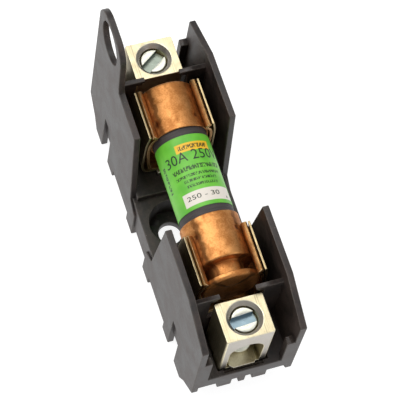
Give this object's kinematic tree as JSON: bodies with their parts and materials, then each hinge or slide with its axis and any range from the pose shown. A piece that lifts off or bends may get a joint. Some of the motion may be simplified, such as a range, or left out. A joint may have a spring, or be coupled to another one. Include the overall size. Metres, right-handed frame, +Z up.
{
  "type": "cartridge fuse in a fuse block",
  "caption": "Cartridge fuse with a grooved end held in two spring clips of a one-pole moulded fuse block with box lugs.",
  "frame": {"origin": "centre of the box's bottom face, under the middle of the feet that stand on the panel", "axes": "+Y along the block from the grooved end of the fuse to the end with the ear, +Z up from the panel, +X across the block"},
  "size_m": [0.025, 0.0828, 0.0515],
  "materials": {
    "moulded_thermoplastic": "black moulded thermoplastic, satin with faint flow lines",
    "tinned_strip": "tin plated copper strip",
    "spring_steel": "bright rolled spring steel",
    "clip_copper": "rolled copper, lightly tarnished",
    "zinc_plate": "zinc plated steel",
    "tinned_aluminium": "tin plated extruded aluminium, cut and deburred",
    "screw_plate": "bright zinc plated steel screw",
    "tube_fibre": "dark grey vulcanised fibre tube",
    "label_paper": "printed green wrap label",
    "cap_copper": "drawn copper ferrule, satin",
    "washer_fibre": "brown fibre",
    "quartz_sand": "packed quartz filler",
    "silver_alloy": "silver bearing fuse link",
    "brass_trim": "turned brass"
  },
  "bodies": {
    "block": {"base_block": "moulded_thermoplastic", "terminal_strip_far": "tinned_strip", "terminal_strip_near": "tinned_strip", "clip_spring_far": "spring_steel", "clip_spring_near": "spring_steel", "fuse_clip_far": "clip_copper", "fuse_clip_near": "clip_copper", "clip_rivet_far": "zinc_plate", "clip_rivet_near": "zinc_plate", "rejection_plate": "zinc_plate", "box_lug_far": "tinned_aluminium", "box_lug_near": "tinned_aluminium"},
    "fuse": {"fuse_tube": "tube_fibre", "fuse_label": "label_paper", "end_cap_plain": "cap_copper", "end_cap_grooved": "cap_copper", "closing_washer_far": "washer_fibre", "closing_washer_near": "washer_fibre", "partition_far": "washer_fibre", "partition_near": "washer_fibre", "sand_fill_far": "quartz_sand", "sand_fill_near": "quartz_sand", "short_circuit_link_far": "silver_alloy", "short_circuit_link_near": "silver_alloy", "heat_absorber": "brass_trim", "heater_strip": "silver_alloy", "trigger_spring": "spring_steel"},
    "foot_far": {"pressure_foot_far": "screw_plate"},
    "foot_near": {"pressure_foot_near": "screw_plate"},
    "screw_far": {"lug_screw_far": "screw_plate"},
    "screw_near": {"lug_screw_near": "screw_plate"},
    "trigger": {"trigger_plunger": "brass_trim"}
  },
  "joints": [
    {"name": "fuse_lift", "type": "slide", "parent": "block", "child": "fuse", "axis": [0, 0, 1], "range_m": [0, 0.04], "deforming": ["fuse_clip_far", "fuse_clip_near"]},
    {"name": "screw_far_travel", "type": "slide", "parent": "block", "child": "foot_far", "axis": [0, 0, -1], "range_m": [-0.0085, 0.0007]},
    {"name": "screw_far_turn", "type": "hinge", "parent": "foot_far", "child": "screw_far", "pos_m": [0, 0.0346, 0.0179], "axis": [0, 0, -1], "range_deg": [-3400, 300]},
    {"name": "screw_near_travel", "type": "slide", "parent": "block", "child": "foot_near", "axis": [0, 0, -1], "range_m": [-0.0085, 0.0007]},
    {"name": "screw_near_turn", "type": "hinge", "parent": "foot_near", "child": "screw_near", "pos_m": [0, -0.0346, 0.0179], "axis": [0, 0, -1], "range_deg": [-3400, 300]},
    {"name": "trigger_release", "type": "slide", "parent": "fuse", "child": "trigger", "axis": [0, -1, 0], "range_m": [0, 0.003]}
  ],
  "couplings": [
    {"joint": "screw_far_turn", "follows": "screw_far_travel", "rad_per_m": 6927.1},
    {"joint": "screw_near_turn", "follows": "screw_near_travel", "rad_per_m": 6927.1}
  ]
}
